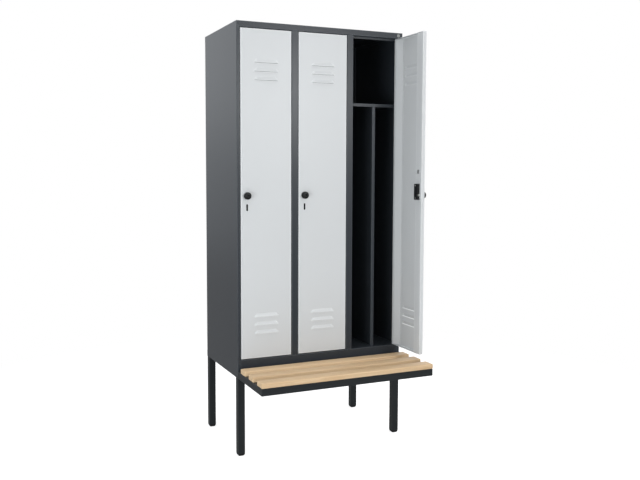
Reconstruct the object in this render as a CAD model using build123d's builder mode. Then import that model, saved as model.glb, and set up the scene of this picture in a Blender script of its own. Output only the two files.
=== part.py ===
from build123d import *
from math import hypot
import os

# A clean and dirty clothes locker: three compartments, each divided for clean
# and dirty clothes, on a tube base whose side rails reach forward as a bench.
# Millimetres, +Z up. The origin is on the floor, midway across the width and
# midway between the rear of the carcass and the front edge of the bench slats.

os.makedirs("parts", exist_ok=True)

# Overall sizes
width = 900.0
depth = 500.0
height = 2090.0
base_height = 420.0
bench_reach = 315.0
compartments = 3

# Sheet steel and its bends
sheet = 1.0
bend = 1.5
overrun = 0.5

# Base tube, feet and bench slats
tube = 35.0
tube_wall = 2.0
tube_corner = 2.5
foot_height = 15.0
foot_corner = 3.0
foot_chamfer = 4.0
foot_plug = 20.0
foot_play = 0.2
slat_width = 62.0
slat_thickness = 24.0
slat_back_gap = 38.0
slat_overhang = 3.0
slat_round = 4.0
slat_end_chamfer = 2.0
slats = ("front", "middle", "back")
screw_radius = 2.5
screw_head_radius = 5.0
screw_head_height = 3.0
screw_bite = 16.0
screw_access_radius = 7.0

# Front frame of the carcass
side_return = 16.0
rear_return = 15.0
skirt = 33.0
stile_crown = 34.0
frame_depth = 22.5
stop_brim = 10.0
stop_gap = 1.0
header_face = 29.0
header_top_return = 18.0
plinth_face = 56.0
roof_flange = 15.0
rear_side_play = 3.0

# Inner fittings
hat_space = 333.0
shelf_lip = 15.0
shelf_setback = 24.0
divider_face = 17.0
divider_return = 12.0
rail_radius = 7.5
rail_wall = 1.2
rail_drop = 40.0
hook_strip = 2.0
hook_width = 12.0
hook_play = 0.3
hook_shank = 30.0
hook_bowl_radius = 10.0
hook_nose = 6.0
hook_open_angle = 210.0
hook_start_angle = -30.0

# Door pan and its pivots
door_side_gap = 2.5
door_end_gap = 3.0
door_depth = 20.0
door_lip = 15.0
door_fold = 2.0
hinge_inset = 5.0
hinge_depth = 5.0
pin_radius = 3.0
pin_play = 0.05
pin_reach = 4.0
pin_collar_radius = 5.0
pin_collar_play = 0.3
pin_head_radius = 3.8
pin_head_height = 2.0
pin_head_drop = 1.2
door_rest_angles = (0.0, 0.0, 90.0)

# Louvres pressed out of the door
louvre_low_width = 123.0
louvre_high_width = 93.0
louvre_height = 16.0
louvre_proud = 4.0
louvre_pitch = 41.0
louvre_drop = 158.0
louvre_rise = 120.0
louvres_in_group = 3

# Stiffeners inside the door
stiffener_play = 1.5
stiffener_foot = 10.0
lock_band = 52.0
hinge_band = 50.0
hinge_flat = 14.0
window_rise = 115.0
window_width = 12.0
window_height = 20.0

# Turn knob, sliding bolt and lock case
knob_rise = 789.0
knob_inset = 32.0
knob_radius = 17.5
knob_length = 23.0
knob_rim = 12.0
knob_bulge = 1.7
dish_radius = 7.0
dish_depth = 1.2
turning_play = 0.3
spindle_radius = 5.0
spindle_hole_play = 1.0
crank_radius = 12.0
crank_gap = 1.0
crank_thickness = 2.5
crank_throw = 6.0
drive_pin_radius = 2.0
drive_pin_play = 0.6
bolt_gap = 0.7
bolt_thickness = 3.0
bolt_half_height = 6.0
bolt_tip_inset = 10.0
bolt_nose = 1.0
bolt_wall = 3.0
case_inset = 15.5
case_width = 36.0
case_rise = 55.0
case_drop = 23.0
case_depth = 10.5
case_wall = 1.8
case_corner = 1.5
case_chamfer = 1.2
case_notch_radius = 7.0
channel_play = 0.4

# Blind slot insert under the knob
insert_drop = 56.0
insert_width = 9.0
insert_height = 33.0
insert_flange = 2.0
insert_groove = 0.6
insert_rim = 1.5

# Places worked out from the sizes
back_y = (depth + bench_reach + slat_overhang) / 2
front_y = back_y - depth
bench_y = front_y - bench_reach
rear_face_y = back_y - 2 * sheet
opening_low = base_height + plinth_face
opening_high = height - header_face
roof_under = height - sheet
shelf_height = opening_high - hat_space
inner_half = width / 2 - sheet
opening_width = (width - 2 * side_return - (compartments - 1) * stile_crown) / compartments
bay_pitch = opening_width + stile_crown
opening_centres = [(k - (compartments - 1) / 2) * bay_pitch for k in range(compartments)]
stile_centres = [(k + 1 - compartments / 2) * bay_pitch for k in range(compartments - 1)]
bay_lows = [-inner_half] + [centre + sheet / 2 for centre in stile_centres]
bay_highs = [centre - sheet / 2 for centre in stile_centres] + [inner_half]
rail_centre_x = inner_half - tube / 2
rail_centre_z = base_height - tube / 2
slat_run = bench_reach + slat_overhang - slat_back_gap - slat_width
slat_pitch = slat_run / (len(slats) - 1)
slat_centres = [bench_y - slat_overhang + slat_width / 2 + k * slat_pitch for k in range(len(slats))]

door_width = opening_width - 2 * door_side_gap
door_low = opening_low + door_end_gap
door_high = opening_high - door_end_gap
axis_y = front_y + hinge_depth
axis_xs = [centre + door_width / 2 - hinge_inset for centre in opening_centres]
door_left = hinge_inset - door_width
door_centre = door_left + door_width / 2
door_face = -hinge_depth
stiffener_back = door_depth - sheet

knob_x = door_left + knob_inset
knob_height = door_low + knob_rise
crank_front = stiffener_back + crank_gap
crank_back = crank_front + crank_thickness
bolt_front = crank_back + bolt_gap
crank_arm = hypot(crank_throw, crank_throw)
insert_z = knob_height - insert_drop

upright = (Align.CENTER, Align.CENTER, Align.MIN)


def save(piece, name):
    """Label a finished piece and write its file."""
    piece.label = name
    export_step(piece, f"parts/{name}.step")


def folded_section(points, plane):
    """Section of one sheet bent along the points, which lie on its middle line."""
    with BuildSketch(plane) as section:
        with BuildLine():
            FilletPolyline(*points, radius=bend)
        trace(line_width=sheet)
    return section.sketch


def tube_section(plane, x, y):
    """Section of the square base tube, centred on a point of the plane."""
    with BuildSketch(plane) as section:
        with Locations((x, y)):
            RectangleRounded(tube, tube, tube_corner)
            Rectangle(tube - 2 * tube_wall, tube - 2 * tube_wall, mode=Mode.SUBTRACT)
    return section.sketch


def block_section(plane, low, high):
    """Plain rectangle between two corners of the plane."""
    with BuildSketch(plane) as section:
        with Locations(((low[0] + high[0]) / 2, (low[1] + high[1]) / 2)):
            Rectangle(high[0] - low[0], high[1] - low[1])
    return section.sketch


def at_depth(behind):
    """Upright plane facing the front, this far behind the face of a closed door."""
    return Plane.XZ.offset(-(door_face + behind))


def mitre_plane(side):
    """Upright plane through the front corner of the bench on one side."""
    return Plane(origin=(side * inner_half, bench_y, 0), z_dir=(side, 1, 0))


# Side panels: one sheet folded round to the front frame and to the rear
for side_name, side in (("left", -1), ("right", 1)):
    with BuildPart() as side_panel:
        folds = [
            (side * (width / 2 - rear_return), back_y - sheet / 2),
            (side * (width - sheet) / 2, back_y - sheet / 2),
            (side * (width - sheet) / 2, front_y + sheet / 2),
            (side * (width / 2 - side_return + sheet / 2), front_y + sheet / 2),
            (side * (width / 2 - side_return + sheet / 2), front_y + frame_depth - sheet / 2),
            (side * (width / 2 - side_return - stop_brim), front_y + frame_depth - sheet / 2),
        ]
        extrude(
            folded_section(folds, Plane.XY.offset(base_height)),
            amount=opening_high - base_height,
        )
        edge_low = min(side * inner_half, side * width / 2)
        for low, rise in ((base_height - skirt, skirt), (opening_high, header_face)):
            extrude(
                block_section(Plane.XY.offset(low), (edge_low, front_y), (edge_low + sheet, back_y)),
                amount=rise,
            )
        return_low = min(side * (width / 2 - rear_return), side * width / 2)
        extrude(
            block_section(
                Plane.XY.offset(opening_high),
                (return_low, back_y - sheet),
                (return_low + rear_return, back_y),
            ),
            amount=header_face - roof_flange,
        )
    save(side_panel.part, f"side_panel_{side_name}")

# Roof: flat sheet behind the header, flanged down at the sides and the rear
with BuildPart() as roof_panel:
    roof_front = front_y + header_top_return
    extrude(
        block_section(Plane.XY.offset(roof_under), (-inner_half, roof_front), (inner_half, back_y)),
        amount=sheet,
    )
    flange_plane = Plane.XY.offset(height - roof_flange)
    extrude(
        block_section(flange_plane, (-inner_half, back_y - sheet), (inner_half, back_y)),
        amount=roof_flange,
    )
    for side in (-1, 1):
        edge_low = min(side * inner_half, side * (inner_half - sheet))
        extrude(
            block_section(flange_plane, (edge_low, roof_front), (edge_low + sheet, back_y)),
            amount=roof_flange,
        )
save(roof_panel.part, "roof_panel")

# Rear panel, held between the rear returns and the flanges of roof and floor
with BuildPart() as rear_panel:
    rear_half = inner_half - rear_side_play
    extrude(
        block_section(
            Plane.XY.offset(base_height),
            (-rear_half, rear_face_y),
            (rear_half, rear_face_y + sheet),
        ),
        amount=roof_under - base_height,
    )
save(rear_panel.part, "rear_panel")

# Floor: tray turned down at the sides and the rear to stand on the base rails
with BuildPart() as floor_panel:
    floor_front = front_y + frame_depth
    extrude(
        block_section(Plane.XY.offset(base_height), (-inner_half, floor_front), (inner_half, rear_face_y)),
        amount=plinth_face,
    )
    extrude(
        block_section(
            Plane.XY.offset(base_height),
            (sheet - inner_half, floor_front),
            (inner_half - sheet, rear_face_y - sheet),
        ),
        amount=plinth_face - sheet,
        mode=Mode.SUBTRACT,
    )
save(floor_panel.part, "floor_panel")

# Partitions, each standing in the hollow of a stile and running to the rear
for number, centre in enumerate(stile_centres, 1):
    with BuildPart() as partition:
        low_x = centre - sheet / 2
        extrude(
            block_section(
                Plane.XY.offset(opening_low), (low_x, front_y + frame_depth), (low_x + sheet, rear_face_y)
            ),
            amount=roof_under - opening_low,
        )
        extrude(
            block_section(
                Plane.XY.offset(opening_low),
                (low_x, front_y + sheet),
                (low_x + sheet, front_y + frame_depth),
            ),
            amount=opening_high - opening_low,
        )
    save(partition.part, f"partition_{number}")

# Header: face with a top return, a pivot flange and stops hanging behind the doors
with BuildPart() as front_header:
    header_folds = [
        (front_y + frame_depth, opening_high + sheet / 2),
        (front_y + sheet / 2, opening_high + sheet / 2),
        (front_y + sheet / 2, height - sheet / 2),
        (front_y + header_top_return, height - sheet / 2),
    ]
    extrude(folded_section(header_folds, Plane.YZ.offset(-inner_half)), amount=2 * inner_half)
    for centre in opening_centres:
        reach = opening_width / 2 - stop_brim - stop_gap
        stop_back = front_y + frame_depth
        extrude(
            block_section(
                Plane.XY.offset(opening_high - stop_brim),
                (centre - reach, stop_back - sheet),
                (centre + reach, stop_back),
            ),
            amount=stop_brim + sheet,
        )
    with Locations(*[(x, axis_y, opening_high - overrun) for x in axis_xs]):
        Cylinder(pin_radius + pin_play, sheet + 2 * overrun, align=upright, mode=Mode.SUBTRACT)
save(front_header.part, "front_header")

# Bottom rail: plinth face with a pivot flange that meets the floor tray between the brims
with BuildPart() as bottom_rail:
    rail_half = width / 2 - side_return
    plinth_folds = [
        (front_y + sheet / 2, base_height),
        (front_y + sheet / 2, opening_low - sheet / 2),
        (front_y + frame_depth - sheet, opening_low - sheet / 2),
    ]
    extrude(folded_section(plinth_folds, Plane.YZ.offset(-rail_half)), amount=2 * rail_half)
    for centre in opening_centres:
        reach = opening_width / 2 - stop_brim - stop_gap
        tongue_back = front_y + frame_depth
        extrude(
            block_section(
                Plane.XY.offset(opening_low - sheet),
                (centre - reach, tongue_back - sheet),
                (centre + reach, tongue_back),
            ),
            amount=sheet,
        )
    with Locations(*[(x, axis_y, opening_low - sheet - overrun) for x in axis_xs]):
        Cylinder(pin_radius + pin_play, sheet + 2 * overrun, align=upright, mode=Mode.SUBTRACT)
save(bottom_rail.part, "bottom_rail")

# Middle stiles: hat sections whose brims stop the doors
for number, centre in enumerate(stile_centres, 1):
    with BuildPart() as stile:
        web = (stile_crown - sheet) / 2
        brim = stile_crown / 2 + stop_brim
        crown_y = front_y + sheet / 2
        brim_y = front_y + frame_depth - sheet / 2
        hat = [
            (centre - brim, brim_y),
            (centre - web, brim_y),
            (centre - web, crown_y),
            (centre + web, crown_y),
            (centre + web, brim_y),
            (centre + brim, brim_y),
        ]
        extrude(folded_section(hat, Plane.XY.offset(opening_low)), amount=opening_high - opening_low)
    save(stile.part, f"stile_{number}")

# Hat shelves: trays turned down on all four sides
shelf_front = front_y + shelf_setback
for number, (low_x, high_x) in enumerate(zip(bay_lows, bay_highs), 1):
    with BuildPart() as hat_shelf:
        extrude(
            block_section(
                Plane.XY.offset(shelf_height - shelf_lip),
                (low_x, shelf_front),
                (high_x, rear_face_y),
            ),
            amount=shelf_lip,
        )
        extrude(
            block_section(
                Plane.XY.offset(shelf_height - shelf_lip),
                (low_x + sheet, shelf_front + sheet),
                (high_x - sheet, rear_face_y - sheet),
            ),
            amount=shelf_lip - sheet,
            mode=Mode.SUBTRACT,
        )
    save(hat_shelf.part, f"hat_shelf_{number}")

# Dividers between clean and dirty clothes, with a boxed front edge
divider_top = shelf_height - sheet
for number, centre in enumerate(opening_centres, 1):
    with BuildPart() as divider:
        edge = (divider_face - sheet) / 2
        face_y = shelf_front + 1.5 * sheet
        boxed = [
            (centre - edge, face_y + divider_return),
            (centre - edge, face_y),
            (centre + edge, face_y),
            (centre + edge, face_y + divider_return),
        ]
        extrude(folded_section(boxed, Plane.XY.offset(opening_low)), amount=divider_top - opening_low)
        extrude(
            block_section(
                Plane.XY.offset(opening_low),
                (centre - sheet / 2, face_y),
                (centre + sheet / 2, rear_face_y - sheet),
            ),
            amount=divider_top - opening_low,
        )
    save(divider.part, f"divider_{number}")

# Coat rails across each half compartment
rail_y = (shelf_front + rear_face_y) / 2
rail_z = shelf_height - shelf_lip - rail_drop
rail_spans = []
for low_x, centre, high_x in zip(bay_lows, opening_centres, bay_highs):
    rail_spans.append((low_x, centre - sheet / 2))
    rail_spans.append((centre + sheet / 2, high_x))
with BuildPart() as coat_rails:
    for low_x, high_x in rail_spans:
        with BuildSketch(Plane.YZ.offset(low_x)):
            with Locations((rail_y, rail_z)):
                Circle(rail_radius)
                Circle(rail_radius - rail_wall, mode=Mode.SUBTRACT)
        extrude(amount=high_x - low_x)
save(coat_rails.part, "coat_rails")

# Coat hooks: bent strips that slide along the rails
hook_ring = rail_radius + hook_play + hook_strip / 2
for number, (low_x, high_x) in enumerate(rail_spans, 1):
    with BuildPart() as coat_hook:
        with BuildSketch(Plane.YZ.offset((low_x + high_x - hook_width) / 2)):
            with BuildLine():
                ring = CenterArc((rail_y, rail_z), hook_ring, hook_start_angle, hook_open_angle)
                shank = Line(ring @ 1, ring @ 1 + (0, -hook_shank))
                bowl = CenterArc(shank @ 1 + (hook_bowl_radius, 0), hook_bowl_radius, 180, 180)
                Line(bowl @ 1, bowl @ 1 + (0, hook_nose))
            trace(line_width=hook_strip)
        extrude(amount=hook_width)
    save(coat_hook.part, f"coat_hook_{number}")

# Legs under the corners of the carcass
leg_places = {
    "front_left": (-rail_centre_x, front_y + tube / 2),
    "front_right": (rail_centre_x, front_y + tube / 2),
    "rear_left": (-rail_centre_x, back_y - tube / 2),
    "rear_right": (rail_centre_x, back_y - tube / 2),
}
for corner, (x, y) in leg_places.items():
    with BuildPart() as leg:
        extrude(tube_section(Plane.XY.offset(foot_height), x, y), amount=base_height - tube - foot_height)
    save(leg.part, f"leg_{corner}")

# Feet: plastic caps with a plug up each leg
with BuildPart() as feet:
    with BuildSketch() as feet_outline:
        with Locations(*leg_places.values()):
            Rectangle(tube, tube)
        chamfer(feet_outline.vertices(), length=foot_corner)
    extrude(amount=foot_height)
    chamfer(feet.edges().group_by(Axis.Z)[0], length=foot_chamfer)
    with BuildSketch(Plane.XY.offset(foot_height)):
        with Locations(*leg_places.values()):
            plug = tube - 2 * tube_wall - 2 * foot_play
            Rectangle(plug, plug)
    extrude(amount=foot_plug)
save(feet.part, "feet")

# Side rails: from the rear of the carcass to the mitred front of the bench
for side_name, side in (("left", -1), ("right", 1)):
    with BuildPart() as side_rail:
        extrude(
            tube_section(Plane.XZ.offset(-back_y), side * rail_centre_x, rail_centre_z),
            amount=back_y - bench_y,
        )
        split(bisect_by=mitre_plane(side), keep=Keep.TOP)
        screw_low = base_height - tube_wall - overrun
        with Locations(*[(side * rail_centre_x, y, screw_low) for y in slat_centres]):
            Cylinder(screw_radius, tube_wall + 2 * overrun, align=upright, mode=Mode.SUBTRACT)
        access_low = base_height - tube - overrun
        with Locations(*[(side * rail_centre_x, y, access_low) for y in slat_centres]):
            Cylinder(screw_access_radius, tube_wall + 2 * overrun, align=upright, mode=Mode.SUBTRACT)
    save(side_rail.part, f"side_rail_{side_name}")

# Bench front rail, mitred to the side rails
with BuildPart() as bench_rail_front:
    extrude(
        tube_section(Plane.YZ.offset(-inner_half), bench_y + tube / 2, rail_centre_z),
        amount=2 * inner_half,
    )
    for side in (-1, 1):
        split(bisect_by=mitre_plane(side), keep=Keep.BOTTOM)
save(bench_rail_front.part, "bench_rail_front")

# Cross rails under the front and the rear of the carcass
for end_name, y in (("front", front_y + tube / 2), ("rear", back_y - tube / 2)):
    with BuildPart() as cross_rail:
        extrude(
            tube_section(Plane.YZ.offset(tube - inner_half), y, rail_centre_z),
            amount=2 * (inner_half - tube),
        )
    save(cross_rail.part, f"cross_rail_{end_name}")

# Bench slats
for name, y in zip(slats, slat_centres):
    with BuildPart() as slat:
        with Locations((0, y, base_height)):
            Box(width, slat_width, slat_thickness, align=upright)
        chamfer(slat.faces().filter_by(Axis.X).edges(), length=slat_end_chamfer)
        fillet(slat.edges().filter_by(Axis.X), radius=slat_round)
        with Locations(*[(side * rail_centre_x, y, base_height) for side in (-1, 1)]):
            Cylinder(screw_radius, screw_bite, align=upright, mode=Mode.SUBTRACT)
    save(slat.part, f"slat_{name}")

# Slat screws: hexagon heads, driven up from inside the side rails
with BuildPart() as slat_screws:
    screw_places = [(side * rail_centre_x, y) for side in (-1, 1) for y in slat_centres]
    with Locations(*[(x, y, base_height - tube_wall) for x, y in screw_places]):
        Cylinder(screw_radius, tube_wall + screw_bite, align=upright)
    with BuildSketch(Plane.XY.offset(base_height - tube_wall)):
        with Locations(*screw_places):
            RegularPolygon(screw_head_radius, side_count=6)
    extrude(amount=-screw_head_height)
save(slat_screws.part, "slat_screws")


# The pieces of one door are made closed, with the pivot axis at x = 0, y = 0
def louvre_solid(back, low, inset):
    """Wedge with slanting cheeks: the outside of a louvre, or the hollow inside it."""
    slope = louvre_proud / louvre_height
    taper = (louvre_low_width - louvre_high_width) / 2 / louvre_height
    wall = inset * hypot(louvre_proud, louvre_height) / louvre_height
    top = (back + louvre_proud - wall) / slope
    front = wall - louvre_proud + slope * low
    low_half = louvre_low_width / 2 - wall - taper * low
    high_half = louvre_low_width / 2 - wall - taper * top
    with BuildPart() as wedge:
        with BuildSketch(Plane.YZ.offset(-louvre_low_width)):
            with BuildLine():
                Polyline((front, low), (back, top), (back, low), close=True)
            make_face()
        extrude(amount=2 * louvre_low_width)
        with BuildSketch(Plane.XZ.offset(-back)):
            with BuildLine():
                Polyline((-low_half, low), (low_half, low), (high_half, top), (-high_half, top), close=True)
            make_face()
        extrude(amount=back - front, mode=Mode.INTERSECT)
    return wedge.part


louvre_outside = louvre_solid(back=sheet / 2, low=0, inset=0)
louvre_hollow = louvre_solid(back=sheet + overrun, low=-overrun, inset=sheet)
louvre_places = []
for k in range(louvres_in_group):
    louvre_places.append((door_centre, door_face, door_high - louvre_drop - k * louvre_pitch))
    louvre_places.append((door_centre, door_face, door_low + louvre_rise + k * louvre_pitch))

# Door leaf: pan with a return lip down each long edge, pressed louvres and its holes
with BuildPart() as leaf_form:
    extrude(
        block_section(
            Plane.XY.offset(door_low),
            (door_left, door_face),
            (door_left + door_width, door_face + door_depth),
        ),
        amount=door_high - door_low,
    )
    fillet(leaf_form.faces().sort_by(Axis.Y)[0].edges(), radius=door_fold)
    offset(amount=-sheet, openings=leaf_form.faces().sort_by(Axis.Y)[-1])
    with BuildSketch(at_depth(door_depth)):
        with Locations((door_centre, (door_low + door_high) / 2)):
            Rectangle(door_width, door_high - door_low)
            Rectangle(door_width - 2 * door_lip, door_high - door_low, mode=Mode.SUBTRACT)
    extrude(amount=sheet)
    with Locations(*louvre_places):
        add(louvre_outside)
        add(louvre_hollow, mode=Mode.SUBTRACT)
    with BuildSketch(at_depth(-overrun)):
        with Locations((knob_x, knob_height)):
            Circle(spindle_radius + turning_play)
        with Locations((knob_x, insert_z)):
            SlotOverall(insert_height, insert_width, rotation=90)
    extrude(amount=-(sheet + 2 * overrun), mode=Mode.SUBTRACT)
    with Locations((0, 0, door_low - overrun), (0, 0, door_high - sheet - overrun)):
        Cylinder(pin_radius, sheet + 2 * overrun, align=upright, mode=Mode.SUBTRACT)

# Stiffeners: a folded strip along each long edge, with an upright web at the lock
# and a slanting one at the hinges
with BuildPart() as stiffener_form:
    stiffener_plane = Plane.XY.offset(door_low + sheet + stiffener_play)
    stiffener_length = door_high - door_low - 2 * (sheet + stiffener_play)
    strip_y = door_face + stiffener_back - sheet / 2
    foot_y = door_face + 1.5 * sheet
    lock_foot = lock_band - sheet / 2
    hinge_foot = hinge_band - sheet / 2
    for edge_x, inward, flat, foot in (
        (door_left, 1, lock_foot, lock_foot),
        (door_left + door_width, -1, hinge_flat, hinge_foot),
    ):
        strip_folds = [
            (edge_x + inward * (sheet + stiffener_play), strip_y),
            (edge_x + inward * flat, strip_y),
            (edge_x + inward * foot, foot_y),
            (edge_x + inward * (foot + stiffener_foot), foot_y),
        ]
        extrude(folded_section(strip_folds, stiffener_plane), amount=stiffener_length)
    with BuildSketch(at_depth(stiffener_back + overrun)):
        with Locations((knob_x, knob_height)):
            Circle(spindle_radius + spindle_hole_play)
        with Locations((knob_x, knob_height + window_rise)):
            Rectangle(window_width, window_height)
    extrude(amount=sheet + 2 * overrun, mode=Mode.SUBTRACT)

# Pivot pins: each with a hexagon head inside the leaf and a hexagon collar in the gap outside it
with BuildPart() as pins_form:
    collar = door_end_gap - pin_collar_play
    reach = door_end_gap + sheet + pin_reach
    tail = sheet + pin_head_drop
    with Locations((0, 0, door_low - reach), (0, 0, door_high - tail)):
        Cylinder(pin_radius, reach + tail, align=upright)
    for low, tall, corner_radius in (
        (door_low - collar, collar, pin_collar_radius),
        (door_low + tail, pin_head_height, pin_head_radius),
        (door_high - tail - pin_head_height, pin_head_height, pin_head_radius),
        (door_high, collar, pin_collar_radius),
    ):
        with BuildSketch(Plane.XY.offset(low)):
            RegularPolygon(corner_radius, side_count=6)
        extrude(amount=tall)

# Turn knob with its spindle, crank disc and drive pin
with BuildPart() as knob_form:
    with BuildSketch(Plane(origin=(knob_x, 0, knob_height))):
        with BuildLine():
            crown_y = door_face - turning_play - knob_length
            base_y = door_face - turning_play
            dish = Line((0, crown_y + dish_depth), (dish_radius, crown_y))
            dome = SagittaArc(dish @ 1, (knob_radius, base_y - knob_rim), knob_bulge)
            Polyline(
                dome @ 1,
                (knob_radius, base_y),
                (spindle_radius, base_y),
                (spindle_radius, door_face + crank_front),
                (crank_radius, door_face + crank_front),
                (crank_radius, door_face + crank_back),
                (0, door_face + crank_back),
                dish @ 0,
            )
        make_face()
    revolve(axis=Axis((knob_x, 0, knob_height), (0, 1, 0)))
    with BuildSketch(at_depth(crank_back)):
        with Locations((knob_x + crank_throw, knob_height + crank_throw)):
            Circle(drive_pin_radius)
    extrude(amount=-(bolt_gap + bolt_thickness))

# Sliding bolt, drawn back: a bar to the free edge and a head slotted for the drive pin
with BuildPart() as bolt_form:
    slot_half_width = drive_pin_radius + drive_pin_play
    slot_low = crank_throw - slot_half_width
    slot_high = crank_arm + slot_half_width
    head_x = knob_x + crank_throw
    with BuildSketch(at_depth(bolt_front)):
        bar_x = door_left + bolt_tip_inset
        with Locations(((bar_x + head_x) / 2, knob_height)):
            Rectangle(head_x - bar_x, 2 * bolt_half_height)
        with Locations((head_x, knob_height + (slot_high + bolt_wall - bolt_half_height) / 2)):
            Rectangle(2 * (slot_half_width + bolt_wall), slot_high + bolt_wall + bolt_half_height)
        with Locations((head_x, knob_height + (slot_low + slot_high) / 2)):
            Rectangle(2 * slot_half_width, slot_high - slot_low, mode=Mode.SUBTRACT)
    extrude(amount=-bolt_thickness)
    chamfer(bolt_form.faces().sort_by(Axis.X)[0].edges().filter_by(Axis.Z), length=bolt_nose)

# Lock case: moulded cover over the crank, channelled for the bolt
with BuildPart() as case_form:
    case_x = door_left + case_inset + case_width / 2
    case_z = knob_height + (case_rise - case_drop) / 2
    case_height = case_rise + case_drop
    with BuildSketch(at_depth(stiffener_back)):
        with Locations((case_x, case_z)):
            Rectangle(case_width, case_height)
    extrude(amount=-case_depth)
    chamfer(case_form.edges().filter_by(Axis.Y), length=case_corner)
    chamfer(case_form.faces().sort_by(Axis.Y)[-1].edges(), length=case_chamfer)
    with BuildSketch(at_depth(stiffener_back)):
        with Locations((case_x, case_z)):
            Rectangle(case_width - 2 * case_wall, case_height - 2 * case_wall)
    extrude(amount=-(case_depth - case_wall), mode=Mode.SUBTRACT)
    with BuildSketch(at_depth(stiffener_back)):
        with Locations((door_left + case_inset, knob_height)):
            Rectangle(2 * (knob_inset - case_inset), 2 * (bolt_half_height + channel_play))
        with Locations((case_x, case_z - case_height / 2)):
            Circle(case_notch_radius)
    extrude(amount=-(case_depth + overrun), mode=Mode.SUBTRACT)

# Slot insert: blind bezel, flush in the skin and flanged behind it
with BuildPart() as insert_form:
    with BuildSketch(at_depth(0)):
        with Locations((knob_x, insert_z)):
            SlotOverall(insert_height, insert_width, rotation=90)
    extrude(amount=-sheet)
    with BuildSketch(at_depth(sheet)):
        with Locations((knob_x, insert_z)):
            Rectangle(insert_width + 2 * insert_flange, insert_height + 2 * insert_flange)
    extrude(amount=-insert_flange)
    with BuildSketch(at_depth(0)):
        with Locations((knob_x, insert_z)):
            SlotOverall(insert_height - 2 * insert_rim, insert_width - 2 * insert_rim, rotation=90)
    extrude(amount=-insert_groove, mode=Mode.SUBTRACT)

# The doors in their places, each turned about its pivots to where it rests
door_places = [Location((x, axis_y, 0), (0, 0, angle)) for x, angle in zip(axis_xs, door_rest_angles)]
door_pieces = {
    "door_leaf": leaf_form.part,
    "door_stiffeners": stiffener_form.part,
    "pivot_pins": pins_form.part,
    "lock_case": case_form.part,
    "slot_insert": insert_form.part,
    "turn_knob": knob_form.part,
    "latch_bolt": bolt_form.part,
}
for number, place in enumerate(door_places, 1):
    for name, form in door_pieces.items():
        with BuildPart() as door_piece:
            with Locations(place):
                add(form)
        save(door_piece.part, f"{name}_{number}")
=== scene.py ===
"""Looks of a clean and dirty clothes locker with a bench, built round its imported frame.

Metres and +Z up, in the frame of the CAD model. The camera stands to the left of the
locker and looks along +Y, turned a little towards +X.
"""

import logging
import math
from dataclasses import dataclass, field
from enum import Enum
from functools import cache
from typing import Dict, List, Optional, Sequence, Tuple, Union

import bmesh
import bpy
from mathutils import Matrix, Vector


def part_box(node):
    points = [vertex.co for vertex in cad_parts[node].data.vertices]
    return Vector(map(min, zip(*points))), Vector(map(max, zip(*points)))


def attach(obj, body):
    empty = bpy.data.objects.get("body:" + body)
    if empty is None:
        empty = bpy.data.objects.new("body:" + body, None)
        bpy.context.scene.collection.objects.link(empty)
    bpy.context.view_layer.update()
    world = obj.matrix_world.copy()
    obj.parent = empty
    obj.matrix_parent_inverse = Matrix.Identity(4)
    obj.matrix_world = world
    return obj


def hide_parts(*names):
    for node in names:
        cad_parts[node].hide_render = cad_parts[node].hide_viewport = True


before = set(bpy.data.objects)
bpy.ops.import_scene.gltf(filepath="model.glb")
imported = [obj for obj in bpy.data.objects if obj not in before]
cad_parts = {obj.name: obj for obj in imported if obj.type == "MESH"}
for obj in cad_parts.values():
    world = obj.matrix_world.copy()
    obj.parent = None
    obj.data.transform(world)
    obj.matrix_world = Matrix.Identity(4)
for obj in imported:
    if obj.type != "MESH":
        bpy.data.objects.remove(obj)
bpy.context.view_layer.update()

log = logging.getLogger("locker")

Pair = Tuple[float, float]
Triple = Tuple[float, float, float]
Tint = Tuple[int, int, int]
Line = List[Pair]
Socket = bpy.types.NodeSocket
Piece = bpy.types.Object
Source = Union[Socket, float, int, tuple]
Feeds = Dict[Union[int, str], Source]


def tone(red: int, green: int, blue: int) -> Tuple[float, float, float, float]:
    """Turn a display colour into the linear colour that a shader reads.

    Args:
        red: Red share, 0 to 255.
        green: Green share, 0 to 255.
        blue: Blue share, 0 to 255.

    Returns:
        Linear red, green and blue, with an alpha of 1.
    """
    shares = [value / 255 for value in (red, green, blue)]
    linear = [s / 12.92 if s <= 0.04045 else ((s + 0.055) / 1.055) ** 2.4 for s in shares]
    return (linear[0], linear[1], linear[2], 1.0)


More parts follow.
